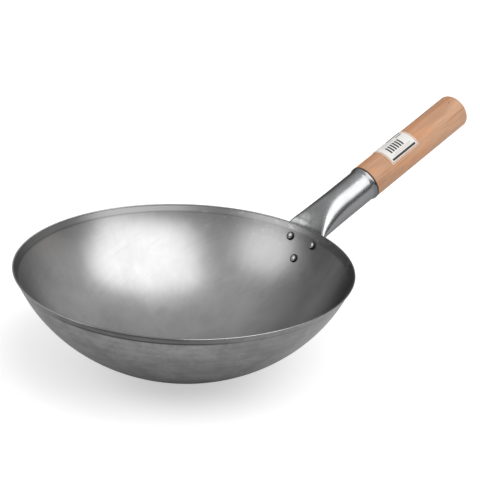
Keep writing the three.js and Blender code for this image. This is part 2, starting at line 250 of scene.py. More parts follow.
# Painted shade round the rivet heads
RIVET_PAINTED_SHADE = grey(0.012)
NAIL_STEEL = (grey(0.34), grey(0.46))
GRIP_WOOD = ((0.51, 0.282, 0.168), (0.64, 0.373, 0.232))
WARM_PATCH = (0.67, 0.32, 0.155)
HEART_STREAK = (0.46, 0.205, 0.1)
WOOD_VEIN = (0.36, 0.175, 0.095)
WOOD_FIBRE = (0.42, 0.22, 0.125)
WOOD_PORE = (0.2, 0.09, 0.05)
WOOD_KNOT = (0.1, 0.05, 0.03)
SHOULDER_SHADE = (0.05, 0.03, 0.02)
LABEL_PAPER = ((0.76, 0.75, 0.72), (0.83, 0.82, 0.79))
FRAME_PRINT = (0.62, 0.36, 0.22)
RULE_PRINT = (0.42, 0.3, 0.28)
DARK_PRINT = grey(0.03)
PALE_FLOOR = (grey(0.7), grey(0.74))
ROOM_TONE = (grey(0.1), grey(0.57))

# Height of the fine relief on each finish, and how strongly it shows
BOWL_RELIEF = 0.05 * MM
SOCKET_RELIEF = 0.02 * MM
RIVET_RELIEF = 0.01 * MM
WOOD_RELIEF = 0.06 * MM
PAPER_RELIEF = 0.02 * MM
RELIEF_STRENGTH = 0.3

# Stage
LAMP_DISTANCE = 3
FLOOR_REACH = 8
FLOOR_DROP = 0.2 * MM
FLOOR_GLOW = 0.52
# Distance from the bowl's axis at which the floor starts to glow in reflections, and glows in full;
# nearer the axis the glow fades as painted shadow under the bowl
REFLECTED_GLOW = (40 * MM, 190 * MM)
# How much the room darkens towards +Y
ROOM_SLANT = 0.12


# Bowl wall: radius, and outward normal as (radial, upward), of the outer face at a height

def wall_radius(height):
    share = height / BOWL_DEPTH
    fullness = (1 + WALL_FULLNESS) * share - WALL_FULLNESS * share ** 2
    return np.sqrt(BASE_FLAT_RADIUS ** 2 + WALL_SPREAD * fullness)


def wall_normal(height):
    share = height / BOWL_DEPTH
    growth = WALL_SPREAD * (1 + WALL_FULLNESS - 2 * WALL_FULLNESS * share)
    normal = np.stack([np.full_like(share, BOWL_DEPTH), -growth / (2 * wall_radius(height))], axis=-1)
    return normal / np.linalg.norm(normal, axis=-1, keepdims=True)


def wall_point(height):
    return np.stack([wall_radius(height), height], axis=-1)


# Mesh building

def skin(rings, first_pole, last_pole):
    """Vertices and faces of a closed skin over a row of rings, with a fan to a pole at each end."""
    rings = np.asarray(rings)
    rows, count = rings.shape[:2]
    vertices = np.concatenate([rings.reshape(-1, 3), [first_pole], [last_pole]])
    here = np.arange(rows * count).reshape(rows, count)
    beside = np.roll(here, -1, axis=1)
    quads = np.stack([here[:-1], beside[:-1], beside[1:], here[1:]], axis=-1).reshape(-1, 4)
    first = rows * count
    last = first + 1
    faces = quads.tolist()
    faces += [(first, b, a) for a, b in zip(here[0], beside[0])]
    faces += [(last, a, b) for a, b in zip(here[-1], beside[-1])]
    return vertices, faces


def turned(profile, segments):
    """A profile of (radius, height) turned about +Z. It starts and ends on the axis."""
    profile = np.asarray(profile)
    angles = np.linspace(0, 2 * math.pi, segments, endpoint=False)
    circle = np.stack([np.cos(angles), np.sin(angles)], axis=-1)
    inner = profile[1:-1]
    rings = np.empty((len(inner), segments, 3))
    rings[..., :2] = inner[:, None, :1] * circle[None]
    rings[..., 2] = inner[:, None, 1]
    return skin(rings, (0, 0, profile[0, 1]), (0, 0, profile[-1, 1]))


def arc(centre, radii, start, end, steps=ARC_STEPS):
    """Points of an elliptical arc, its angles measured from +radius towards +height."""
    angles = np.linspace(start, end, steps + 1)
    return np.asarray(centre) + np.stack([radii[0] * np.cos(angles), radii[1] * np.sin(angles)], axis=-1)


def dome(radius, height, base, direction, steps=DOME_STEPS):
    """A domed end from its edge to the axis, rising from a base height."""
    points = arc((0, base), (radius, direction * height), 0, math.pi / 2, steps)
    points[-1, 0] = 0
    return points


def axis_frame(origin, axis):
    """A frame whose +Z lies along an axis, with its +Y held level."""
    z = Vector(axis).normalized()
    y = Vector((0, 0, 1)).cross(z).normalized()
    x = y.cross(z)
    return Matrix.Translation(Vector(origin)) @ Matrix((x, y, z)).transposed().to_4x4()


def mesh_object(name, vertices, faces, matrix=None):
    """An object over vertices and faces, its faces turned to look outwards."""
    mesh = bpy.data.meshes.new(name)
    mesh.from_pydata([tuple(v) for v in vertices], [], faces)
    if matrix is not None:
        mesh.transform(matrix)
    shell = bmesh.new()
    shell.from_mesh(mesh)
    bmesh.ops.recalc_face_normals(shell, faces=shell.faces)
    shell.to_mesh(mesh)
    shell.free()
    obj = bpy.data.objects.new(name, mesh)
    bpy.context.scene.collection.objects.link(obj)
    return obj


def cut(obj, cutters):
    """Takes the cutters' solids out of obj, and removes the cutters."""
    for cutter in cutters:
        modifier = obj.modifiers.new("cut", "BOOLEAN")
        modifier.object = cutter
        modifier.operation = "DIFFERENCE"
        modifier.solver = "EXACT"
    depsgraph = bpy.context.evaluated_depsgraph_get()
    mesh = bpy.data.meshes.new_from_object(obj.evaluated_get(depsgraph))
    obj.modifiers.clear()
    obj.data = mesh
    for cutter in cutters:
        bpy.data.objects.remove(cutter)


def finish_piece(obj, node, finish):
    """Smooths a piece, gives it its finish, and lets it stand for its node."""
    obj.data.materials.clear()
    obj.data.materials.append(finish)
    obj.data.shade_smooth()
    obj.data.set_sharp_from_angle(angle=SHARP_ANGLE)
    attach(obj, "root")
    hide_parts(node)


def rod(radius, low, high, matrix):
    profile = [(0, low), (radius, low), (radius, high), (0, high)]
    return mesh_object("cutter", *turned(profile, HOLE_SEGMENTS), matrix)


# Rivets: each sits square to the wall, its local z = 0 on the wall's inner face

def plate_stand_off(height):
    above = np.clip(1 - (BOWL_DEPTH - height) / PLATE_SETTLE, 0, 1)
    return SEAT_GAP + RIM_BAND_FLARE * above ** 2


def rivet_frame(drop, offset):
    height = BOWL_DEPTH - drop
    around = offset / wall_radius(height)
    normal = wall_normal(height)
    inner = wall_point(height) - BOWL_SHEET * normal
    turn = (math.cos(around), math.sin(around))
    origin = (inner[0] * turn[0], inner[0] * turn[1], inner[1])
    return axis_frame(origin, (normal[0] * turn[0], normal[0] * turn[1], normal[1]))


def rivet_grip(drop):
    return BOWL_SHEET + plate_stand_off(BOWL_DEPTH - drop) + PLATE_THICKNESS


def rivet_hole(drop, offset):
    radius = RIVET_SHANK_RADIUS + HOLE_GAP
    top = rivet_grip(drop) + RIVET_TAIL_HEIGHT
    return rod(radius, -RIVET_HEAD_HEIGHT, top, rivet_frame(drop, offset))


def make_rivet(name, drop, offset):
    hollow = wall_radius(BOWL_DEPTH - drop) - BOWL_SHEET
    seat = -(SEAT_GAP + RIVET_HEAD_RADIUS ** 2 / (2 * hollow))
    tail_seat = rivet_grip(drop) + SEAT_GAP
    head = dome(RIVET_HEAD_RADIUS, RIVET_HEAD_HEIGHT, seat, -1)[::-1]
    tail = dome(RIVET_TAIL_RADIUS, RIVET_TAIL_HEIGHT, tail_seat, 1)
    neck = [(RIVET_SHANK_RADIUS, seat), (RIVET_SHANK_RADIUS, tail_seat)]
    profile = np.concatenate([head, neck, tail])
    return mesh_object(name, *turned(profile, SMALL_SEGMENTS), rivet_frame(drop, offset))


# Bowl

def make_bowl():
    """The outer wall up to the crease, the flared band, its rounded edge, and back down inside."""
    heights = CREASE_HEIGHT * np.linspace(0, 1, WALL_STEPS + 1) ** WALL_STEP_GROWTH
    crease = wall_point(CREASE_HEIGHT)
    band = np.array([RIM_RADIUS, BOWL_DEPTH]) - crease
    band_normal = np.array([band[1], -band[0]]) / np.linalg.norm(band)
    normals = wall_normal(heights)
    normals[-1] = (normals[-1] + band_normal) / np.linalg.norm(normals[-1] + band_normal)
    outer = wall_point(heights)
    inner = outer - BOWL_SHEET * normals
    rim_inner = np.array([RIM_RADIUS - BOWL_SHEET / band_normal[0], BOWL_DEPTH])
    low_edge = (RIM_RADIUS - RIM_EDGE_ROUND, BOWL_DEPTH - RIM_EDGE_ROUND)
    high_edge = (rim_inner[0] + RIM_EDGE_ROUND, BOWL_DEPTH - RIM_EDGE_ROUND)
    edge = [
        *arc(low_edge, (RIM_EDGE_ROUND, RIM_EDGE_ROUND), 0, math.pi / 2),
        *arc(high_edge, (RIM_EDGE_ROUND, RIM_EDGE_ROUND), math.pi / 2, math.pi),
    ]
    shares = np.linspace(0, 1, BAND_STEPS + 1)[1:-1, None]
    outer_band = crease + shares * (edge[0] - crease)
    inner_band = edge[-1] + shares * (inner[-1] - edge[-1])
    profile = np.concatenate([
        [(0, 0)], outer, outer_band, edge, inner_band, inner[::-1], [(0, BOWL_SHEET)],
    ])
    return mesh_object("bowl", *turned(profile, BOWL_SEGMENTS))


# Socket: stations run from the plate's lower end, round the bend and out along the tube.
# A section is two flats of half length "flat" joined by half rounds of radius "round_off".

def plate_centre(height):
    normal = wall_normal(height)
    centre = wall_point(height) + normal * (SEAT_GAP + PLATE_THICKNESS / 2)
    centre[0] += plate_stand_off(height) - SEAT_GAP
    return centre, -normal


axis_root = plate_centre(BOWL_DEPTH - AXIS_BELOW_RIM)[0]
axis_direction = np.array([math.cos(HANDLE_RISE), math.sin(HANDLE_RISE)])
axis_up = np.array([-axis_direction[1], axis_direction[0]])
handle_frame = axis_frame(
    (axis_root[0], 0, axis_root[1]), (axis_direction[0], 0, axis_direction[1]),
)


def smooth(value, low, high):
    share = np.clip((value - low) / (high - low), 0, 1)
    return share * share * (3 - 2 * share)


def smoother(value, low, high):
    share = np.clip((value - low) / (high - low), 0, 1)
    return share ** 3 * (share * (6 * share - 15) + 10)


def pressed_section(along):
    """The sheet keeps its girth while the round tube is pressed flat."""
    opened = np.clip((along + PRESS_LEAD) / (PRESS_LENGTH + PRESS_LEAD), 0, 1)
    round_off = SOCKET_SHEET + (TUBE_RADIUS - SOCKET_SHEET) * (1 - (1 - opened) ** 2)
    return (TUBE_RADIUS - round_off) * math.pi / 2, round_off


def section_points(flat, round_off):
    """Points round a section, from the middle of its front, as (sideways, outwards)."""
    total = 2 * flat + math.pi * round_off
    edge = max(flat, LEAST_FLAT_SHARE * total)
    distance = np.concatenate([
        np.linspace(0, edge, FLAT_STEPS, endpoint=False),
        np.linspace(edge, total - edge, ROUND_STEPS, endpoint=False),
        np.linspace(total - edge, total, FLAT_STEPS + 1),
    ])
    turn = np.clip((distance - flat) / round_off, 0, math.pi)
    over = np.minimum(distance, flat) - np.maximum(distance - flat - math.pi * round_off, 0)
    half = np.stack([over + round_off * np.sin(turn), round_off * np.cos(turn)], axis=-1)
    mirrored = half[-2:0:-1] * (-1, 1)
    return np.concatenate([half, mirrored])


def ring(centre, normal, wrap, flat, round_off):
    """A section placed in the part, bent round the bowl as far as wrap says."""
    points = section_points(flat, round_off)
    x = centre[0] + points[:, 1] * normal[0]
    around = points[:, 0] / x
    return np.stack([
        x + wrap * (x * np.cos(around) - x),
        points[:, 0] + wrap * (x * np.sin(around) - points[:, 0]),
        centre[1] + points[:, 1] * normal[1],
    ], axis=-1)


def wrap_at(along):
    return 1 - smooth(along, 0, PRESS_LENGTH)


def tube_ring(along, inset=0):
    flat, round_off = pressed_section(along)
    round_off += MOUTH_FLARE * smoother(along, SOCKET_LENGTH - MOUTH_FLARE_LENGTH, SOCKET_LENGTH) - inset
    return ring(axis_root + along * axis_direction, axis_up, wrap_at(along), flat, round_off)


bend_foot = BOWL_DEPTH - AXIS_BELOW_RIM - BEND_REACH


def bend_ring(share):
    """A section on the curve from the plate to the axis."""
    start = plate_centre(bend_foot)[0]
    end = axis_root + BEND_REACH * axis_direction
    centre = (1 - share) ** 2 * start + 2 * share * (1 - share) * axis_root + share ** 2 * end
    tangent = (1 - share) * (axis_root - start) + share * (end - axis_root)
    tangent /= np.linalg.norm(tangent)
    along = BEND_REACH * (2 * share - 1)
    return ring(centre, (-tangent[1], tangent[0]), wrap_at(along), *pressed_section(along))


def plate_ring(angle):
    """The plate narrows from the bend to its lower end along a quarter ellipse."""
    half_width = (pressed_section(-BEND_REACH)[0] + SOCKET_SHEET) * math.cos(angle)
    height = bend_foot - (bend_foot - (BOWL_DEPTH - PLATE_DROP)) * math.sin(angle)
    centre, normal = plate_centre(height)
    return ring(centre, normal, 1, half_width - SOCKET_SHEET, SOCKET_SHEET)


def make_socket():
    """The outside from the plate to the mouth, the lip, and the inside back to the press."""
    half_plate = pressed_section(-BEND_REACH)[0] + SOCKET_SHEET
    tip = math.acos(SOCKET_SHEET / half_plate)
    flare_start = SOCKET_LENGTH - MOUTH_FLARE_LENGTH
    lip = SOCKET_LENGTH - MOUTH_EDGE_ROUND
    tube = np.concatenate([
        np.linspace(BEND_REACH, PRESS_LENGTH, PRESS_STEPS, endpoint=False),
        np.linspace(PRESS_LENGTH, flare_start, STRAIGHT_STEPS, endpoint=False),
        np.linspace(flare_start, lip, FLARE_STEPS, endpoint=False),
    ])
    hollow = tube[tube > HOLLOW_START][::-1]
    rings = [plate_ring(angle) for angle in np.linspace(tip, 0, PLATE_STEPS, endpoint=False)]
    rings += [bend_ring(share) for share in np.linspace(0, 1, BEND_STEPS, endpoint=False)]
    rings += [tube_ring(along) for along in tube]
    lip_edge = arc((MOUTH_EDGE_ROUND, lip), (-MOUTH_EDGE_ROUND, MOUTH_EDGE_ROUND), 0, math.pi / 2)
    rings += [tube_ring(along, inset) for inset, along in lip_edge]
    rings += [tube_ring(along, SOCKET_SHEET - inset) for inset, along in lip_edge[::-1]]
    rings += [tube_ring(along, SOCKET_SHEET) for along in hollow]
    socket = mesh_object("handle_tube", *skin(rings, rings[0].mean(0), rings[-1].mean(0)))
    cut(socket, [seam_slot(), nail_hole(), *(rivet_hole(*place) for place in RIVETS.values())])
    return socket


def seam_slot():
    """A thin block along the underside of the tube, where the rolled edges meet."""
    length = SOCKET_LENGTH - PRESS_LENGTH
    depth = PLATE_THICKNESS + MOUTH_FLARE
    corners = [(x, y, z) for x in (-0.5, 0.5) for y in (-0.5, 0.5) for z in (-0.5, 0.5)]
    faces = [(0, 1, 3, 2), (4, 6, 7, 5), (0, 4, 5, 1), (2, 3, 7, 6), (0, 2, 6, 4), (1, 5, 7, 3)]
    middle = Matrix.Translation((TUBE_RADIUS, 0, PRESS_LENGTH + length / 2 + SEAM_WIDTH))
    size = Matrix.Diagonal((depth, SEAM_WIDTH, length, 1))
    return mesh_object("cutter", corners, faces, handle_frame @ middle @ size)


# Nail

def nail_frame():
    """On the tube's outer face, z pointing out of it."""
    out = Vector((-math.cos(NAIL_ANGLE), math.sin(NAIL_ANGLE), 0))
    seat = out * TUBE_RADIUS + Vector((0, 0, SOCKET_LENGTH - NAIL_FROM_MOUTH))
    z = handle_frame.to_3x3() @ out
    x = handle_frame.to_3x3() @ Vector((0, 0, 1))
    turn = Matrix((x, z.cross(x), z)).transposed().to_4x4()
    return Matrix.Translation(handle_frame @ seat) @ turn


def nail_hole():
    return rod(NAIL_SHANK_RADIUS + HOLE_GAP, -NAIL_LENGTH - HOLE_GAP, NAIL_HEAD_HEIGHT, nail_frame())


def make_nail():
    shank = [(NAIL_SHANK_RADIUS, NAIL_POINT - NAIL_LENGTH), (NAIL_SHANK_RADIUS, SEAT_GAP)]
    head = dome(NAIL_HEAD_RADIUS, NAIL_HEAD_HEIGHT, SEAT_GAP, 1)
    profile = np.concatenate([[(0, -NAIL_LENGTH)], shank, head])
    return mesh_object("nail", *turned(profile, SMALL_SEGMENTS), nail_frame())


# Grip

def make_grip():
    """A tenon that fills the socket's bore, a rounded shoulder, and a domed end."""
    tenon = TUBE_RADIUS - SOCKET_SHEET - SEAT_GAP
    start = PRESS_LENGTH + TENON_STANDOFF
    shoulder = SOCKET_LENGTH + SEAT_GAP
    end = SOCKET_LENGTH + GRIP_LENGTH
    corner = (GRIP_RADIUS - GRIP_SHOULDER_ROUND, shoulder + GRIP_SHOULDER_ROUND)
    profile = np.concatenate([
        [(0, start), (tenon, start), (tenon, shoulder)],
        arc(corner, (GRIP_SHOULDER_ROUND, GRIP_SHOULDER_ROUND), -math.pi / 2, 0),
        dome(GRIP_RADIUS, GRIP_DOME, end - GRIP_DOME, 1),
    ])
    grip = mesh_object("grip", *turned(profile, TURNED_SEGMENTS), handle_frame)
    cut(grip, [nail_hole()])
    return grip


# Label

def make_label():
    """A slice of a thin ring round the grip, with its own thickness."""
    inside = GRIP_RADIUS + SEAT_GAP
    half_angle = LABEL_WIDTH / inside / 2
    across, lengthways = LABEL_STEPS
    angles = LABEL_ANGLE + np.linspace(-half_angle, half_angle, across + 1)
    along = SOCKET_LENGTH + LABEL_FROM_MOUTH + np.linspace(0, LABEL_LENGTH, lengthways + 1)
    angle_grid, along_grid = np.meshgrid(angles, along, indexing="ij")
    out = np.stack([-np.cos(angle_grid), np.sin(angle_grid), np.zeros_like(angle_grid)], axis=-1)
    layers = []
    for radius in (inside, inside + LABEL_THICKNESS):
        points = radius * out
        points[..., 2] = along_grid
        layers.append(points.reshape(-1, 3))
    count = len(layers[0])
    index = np.arange(count).reshape(angle_grid.shape)
    corners = [index[:-1, :-1], index[:-1, 1:], index[1:, 1:], index[1:, :-1]]
    quads = np.stack(corners, axis=-1).reshape(-1, 4)
    border = np.concatenate([index[0, :-1], index[:-1, -1], index[-1, :0:-1], index[:0:-1, 0]])
    beside = np.roll(border, -1)
    sides = np.stack([border, border + count, beside + count, beside], axis=-1)
    faces = np.concatenate([quads, quads[:, ::-1] + count, sides])
    return mesh_object("label", np.concatenate(layers), faces.tolist(), handle_frame)


# Finishes: shader sockets that Python arithmetic can use

class Wire:
    """One output of a shader node. Arithmetic on it adds Math nodes to its finish."""

    def __init__(self, finish, node, output=0):
        self.finish = finish
        self.node = node
        self.output = output

    @property
    def socket(self):
        return self.node.outputs[self.output]

    def out(self, output):
        return Wire(self.finish, self.node, output)

    def math(self, operation, *values):
        return self.finish.add("ShaderNodeMath", {"operation": operation}, dict(enumerate(values)))

    def __add__(self, other):
        return self.math("ADD", self, other)

    def __sub__(self, other):
        return self.math("SUBTRACT", self, other)

    def __rsub__(self, other):
        return self.math("SUBTRACT", other, self)

    def __mul__(self, other):
        return self.math("MULTIPLY", self, other)

    def __truediv__(self, other):
        return self.math("DIVIDE", self, other)

    def __rtruediv__(self, other):
        return self.math("DIVIDE", other, self)

    def __pow__(self, other):
        return self.math("POWER", self, other)

    def __rpow__(self, other):
        return self.math("POWER", other, self)

    def __gt__(self, other):
        return self.math("GREATER_THAN", self, other)

    def __lt__(self, other):
        return self.math("LESS_THAN", self, other)

    def __abs__(self):
        return self.math("ABSOLUTE", self)

    __radd__ = __add__
    __rmul__ = __mul__


class Finish:
    """A node tree that is filled from expressions on wires."""

    def __init__(self, owner):
        owner.use_nodes = True
        self.owner = owner
        self.tree = owner.node_tree
        self.tree.nodes.clear()

    def add(self, kind, settings=None, sockets=None):
        """A node with its settings made first, then its sockets set or linked."""
        node = self.tree.nodes.new(kind)
        for name, value in (settings or {}).items():
            setattr(node, name, value)
        for key, value in (sockets or {}).items():
            if isinstance(value, Wire):
                self.tree.links.new(value.socket, node.inputs[key])
            else:
                node.inputs[key].default_value = value
        return Wire(self, node)

    def place(self):
        return self.add("ShaderNodeTexCoord").out("Object")

    def facing(self):
        return self.add("ShaderNodeTexCoord").out("Normal")

    def split(self, vector):
        parts = self.add("ShaderNodeSeparateXYZ", None, {"Vector": vector})
        return parts, parts.out("Y"), parts.out("Z")

    def join(self, x, y, z):
        return self.add("ShaderNodeCombineXYZ", None, {"X": x, "Y": y, "Z": z})

    def noise(self, vector, scale=1, detail=3, roughness=0.5, distortion=0):
        return self.add("ShaderNodeTexNoise", None, {
            "Vector": vector,
            "Scale": scale,
            "Detail": detail,
            "Roughness": roughness,
            "Distortion": distortion,
        })

    def rise(self, value, low, high):
        """0 at low and 1 at high, smooth between them and level beyond. Low may be the greater."""
        sockets = {"Value": value, "From Min": low, "From Max": high}
        return self.add("ShaderNodeMapRange", {"interpolation_type": "SMOOTHSTEP"}, sockets)

    def blend(self, share, low, high):
        """A colour between two others."""
        low, high = (c if isinstance(c, Wire) else (*c, 1) for c in (low, high))
        mixed = self.add("ShaderNodeMix", {"data_type": "RGBA"}, {0: share, 6: low, 7: high})
        return mixed.out(2)

    def coats(self, colour, *coats):
        """A colour with others laid over it in turn, each given as its share and its colour."""
        for share, coat in coats:
            colour = self.blend(share, colour, coat)
        return colour

    def relief(self, height, distance):
        sockets = {"Height": height, "Distance": distance, "Strength": RELIEF_STRENGTH}
        return self.add("ShaderNodeBump", None, sockets)

    def surface(self, settings):
        """Ends a material with one principled surface."""
        shader = self.add("ShaderNodeBsdfPrincipled", None, settings)
        self.add("ShaderNodeOutputMaterial", None, {"Surface": shader})
        return self.owner


def new_finish(name):
    return Finish(bpy.data.materials.new(name))


# Finish of the bowl

def bowl_marks(steel):
    """Where a point of the bowl lies, and which of the bowl's marks, painted shade and painted light are
    on it.
    """
    x, y, z = steel.split(steel.place())
    radius = (x * x + y * y) ** 0.5 + NEAR_AXIS
    facing_x, facing_y, facing_z = steel.split(steel.facing())
    facing_out = (facing_x * x + facing_y * y) / radius
    above_crease = z - CREASE_HEIGHT
    below_rim = BOWL_DEPTH - z

    def towards(side):
        """1 on that side of the bowl, and -1 on the opposite side."""
        return (x * side[0] + y * side[1]) / radius

    toward_soot_and_shade = towards(SOOT_AND_SHADE_SIDE)
    scratches = steel.noise(steel.join(x * 90, y * 90, z * 260), detail=4, roughness=0.7)
    return SimpleNamespace(
        x=x,
        y=y,
        z=z,
        radius=radius,
        outside=steel.rise(facing_out * 0.8 - facing_z * 0.6, -0.1, 0.1),
        base=steel.rise(z, *PAINTED_SHADE_BASE_HEIGHT),
        band=steel.rise(above_crease, *BAND_ABOVE_CREASE),
        crease=steel.rise(abs(above_crease), *CREASE_LINE),
        # Painted shade in a line just under the rim
        painted_shade_line=steel.rise(below_rim, *SHADE_LINE_BELOW_RIM),
        edge=steel.rise(below_rim, *EDGE_BELOW_RIM),
        # Side where soot and painted shade lie on the band, crease and edge
        sooted_and_shaded=steel.rise(toward_soot_and_shade, 0.78, 0.97),
        sooted_and_shaded_edge=steel.rise(toward_soot_and_shade, 0.94, 0.985),
        towards_painted_light=towards(PAINTED_LIGHT_SIDE),
        inner_painted_shade=steel.rise(towards(PAINTED_SHADE_SIDE), 0.82, 1) * steel.rise(z, *PAINTED_SHADE_HEIGHT),
        # Full painted shade in the inner band and crease away from the handle, half of it at the handle
        far_side=1 - steel.rise(x / radius, 0.5, 1) * 0.5,
        handle_side=steel.rise(x, *SCRATCHED_REACH) * steel.rise(z, *SCRATCHED_HEIGHT),
        scuffs=steel.rise(scratches, 0.56, 0.72),
    )


def inside_steel(steel, bowl):
    """Colour, tone and strokes of the inside: clouds, marks up the wall and wiped strokes, with painted
    shade on one side and on the rim band, and scratches near the handle.
    """
    place = steel.place()
    clouds = steel.noise(place, scale=22, detail=4, roughness=0.55, distortion=0.4)
    up_wall = steel.join(bowl.x / bowl.radius, bowl.y / bowl.radius, bowl.radius * 2)
    up_marks = steel.noise(up_wall, scale=26)
    across = (bowl.x - bowl.y) * 0.7
    climb = bowl.z * 1.6
    slanting = steel.join((across + climb) * 16, (climb - across) * 90, 0)
    wipes = steel.noise(slanting, detail=2, distortion=1.6)
    wiped = steel.rise(steel.noise(place, scale=30, detail=2), 0.42, 0.6)
    streaks = (wipes - 0.5) * wiped + 0.5
    tone = steel.rise(clouds * 0.6 + up_marks * 0.15 + streaks * 0.25, 0.35, 0.65)
    colour = steel.coats(
        steel.blend(tone, *BOWL_INSIDE),
        # Painted shade on the inner wall, on one side near the rim
        (bowl.inner_painted_shade * 0.8, INSIDE_PAINTED_SHADE),
        # Painted shade on the inner rim band, fading towards the handle
        (bowl.band * bowl.far_side * 0.75, INSIDE_BAND_SHADE),
        (bowl.scuffs * bowl.handle_side * 0.6, INSIDE_SCRATCH),
    )
    return colour, tone, up_marks * 0.15 + wipes * 0.2


def outside_steel(steel, bowl):
    """Colour and scratches of the outside: spun rings, rubs, painted shade towards the base, soot and
    painted shade on the band, and painted light on one side.
    """
    rings = steel.noise(steel.join(bowl.x * 3, bowl.y * 3, bowl.z * 420), roughness=0.6)
    rubs = steel.noise(steel.place(), scale=48, detail=5, roughness=0.65, distortion=0.5)
    tone = steel.rise(rubs * 0.75 + rings * 0.25, 0.35, 0.7)
    colour = steel.coats(
        steel.blend(tone, *BOWL_OUTSIDE),
        (bowl.scuffs * 0.4, OUTSIDE_SCUFF),
        # Painted shade on the outside, darker towards the base
        (bowl.base, OUTSIDE_PAINTED_SHADE),
        # Soot and painted shade on the outer rim band, most on one side
        (bowl.band * (0.08 + bowl.sooted_and_shaded * 0.5), SOOT_AND_PAINTED_SHADE),
        # Painted light on the outer wall, towards one side
        (steel.rise(bowl.towards_painted_light, 0.5, 1) * 0.6, OUTSIDE_PAINTED_LIGHT),
    )
    return colour, (rings + bowl.scuffs) * 0.3


def bowl_steel():
    """Satin carbon steel: pale and wiped inside, dull outside, with painted shade in the crease and under
    the rim, and a painted highlight along the edge.
    """
    steel = new_finish("satin_bowl_steel")
    bowl = bowl_marks(steel)
    inside_colour, inside_tone, strokes = inside_steel(steel, bowl)
    outside_colour, scratches = outside_steel(steel, bowl)
    # Painted shade along the crease: inside away from the handle, outside most on the soot and shade side
    inside_crease = bowl.far_side * 0.25 * (1 - bowl.outside)
    outside_crease = (0.25 + bowl.sooted_and_shaded * 0.7) * bowl.outside
    # Painted shade in a line under the rim edge, outside on one side
    painted_shade_line = bowl.painted_shade_line * bowl.sooted_and_shaded_edge * bowl.outside
    edge_towards_painted_light = steel.rise(bowl.towards_painted_light, 0.45, 0.85)
    colour = steel.coats(
        steel.blend(bowl.outside, inside_colour, outside_colour),
        # Painted shade along the crease and in a line under the rim edge
        (bowl.crease * (inside_crease + outside_crease) + painted_shade_line * 0.85, SOOT_AND_PAINTED_SHADE),
        # Painted highlight along the rim edge, dimmer on two sides
        (bowl.edge * (0.85 - edge_towards_painted_light * 0.7) * (1 - bowl.sooted_and_shaded_edge * 0.7), EDGE_PAINTED_HIGHLIGHT),
    )
    unevenness = steel.noise(steel.place(), scale=16, detail=2, roughness=0.4)
    height = unevenness * 12 + strokes + scratches * bowl.outside
    return steel.surface({
        "Base Color": colour,
        "Metallic": 1,
        "Roughness": 0.295 + inside_tone * 0.03 + bowl.outside * (0.1 + bowl.base * 0.2),
        "Specular Tint": (0.7, 0.7, 0.7, 1),
        "Normal": steel.relief(height, BOWL_RELIEF),
    })


# Finishes of the handle

def handle_place(finish):
    """Coordinates on the handle: along its axis, sideways, and up from it."""
    x, y, z = finish.split(finish.place())
    out = x - axis_root[0]
    above = z - axis_root[1]
    along = out * axis_direction[0] + above * axis_direction[1]
    up = above * axis_direction[0] - out * axis_direction[1]
    return along, y, up


def handle_noise(finish, handle, lengthways, crossways, **kind):
    """Noise drawn out along the handle, by its fineness lengthways and crossways."""
    along, side, up = handle
    vector = finish.join(along * lengthways, side * crossways, up * crossways)
    return finish.noise(vector, **kind)


def distance_from(along, side, middle_along, middle_side):
    return ((along - middle_along) ** 2 + (side - middle_side) ** 2) ** 0.5


def socket_steel():
    """Rolled steel with a soft shine, drawn lines along the tube, painted light near the plate, painted
    shade on the underside, a darker mouth and painted shade at the lip.
    """
    steel = new_finish("rolled_socket_steel")
    handle = handle_place(steel)
    along, side, up = handle
    lines = handle_noise(steel, handle, 30, 900, roughness=0.6)
    clouds = steel.noise(steel.place(), scale=60, detail=4, roughness=0.6)
    tone = lines * 0.4 + clouds * 0.6
    facing_x, _, facing_z = steel.split(steel.facing())
    # Faces turned down from the handle's up, where shade is painted
    under = steel.rise(facing_z * axis_direction[0] - facing_x * axis_direction[1], 0.55, 0.15)
    before_mouth = SOCKET_LENGTH - along
    mouth = steel.rise(before_mouth - clouds * MOUTH_RAGGEDNESS, MOUTH_FLARE_LENGTH, 0)
    lip = steel.rise(before_mouth, *LIP_BEFORE_MOUTH)
    painted_reflection = steel.rise(along + clouds * PAINTED_REFLECTION_RAGGEDNESS, *PAINTED_REFLECTION_ROOT) * steel.rise(clouds, 0.4, 0.6)
    from_spot = distance_from(along, side, SPOT_ALONG, SPOT_SIDE) + (clouds - 0.5) * SPOT_RAGGEDNESS
    painted_light_patch = steel.rise(from_spot, *SPOT_RADIUS) * (up > 0)
    colour = steel.coats(
        steel.blend(steel.rise(tone, 0.35, 0.65), *SOCKET_STEEL),
        # Painted reflection on the pressed root
        (painted_reflection * 0.2, SOCKET_PAINTED_REFLECTION),
        # Painted light patch on the plate
        (painted_light_patch * 0.55, SOCKET_PAINTED_LIGHT),
        # Painted shade on the underside
        (under * 0.85, SOCKET_UNDERSIDE_SHADE),
        # Darker and bluish towards the mouth, and painted shade on the mouth's underside
        (mouth * (0.25 + under * 0.6), SOCKET_MOUTH),
        # Painted shade at the lip
        (lip * 0.9, SOCKET_LIP_SHADE),
    )
    return steel.surface({
        "Base Color": colour,
        "Metallic": 1,
        "Roughness": 0.22 + tone * 0.08,
        "Specular Tint": (0.5, 0.5, 0.5, 1),
        "Normal": steel.relief(lines, SOCKET_RELIEF),
    })


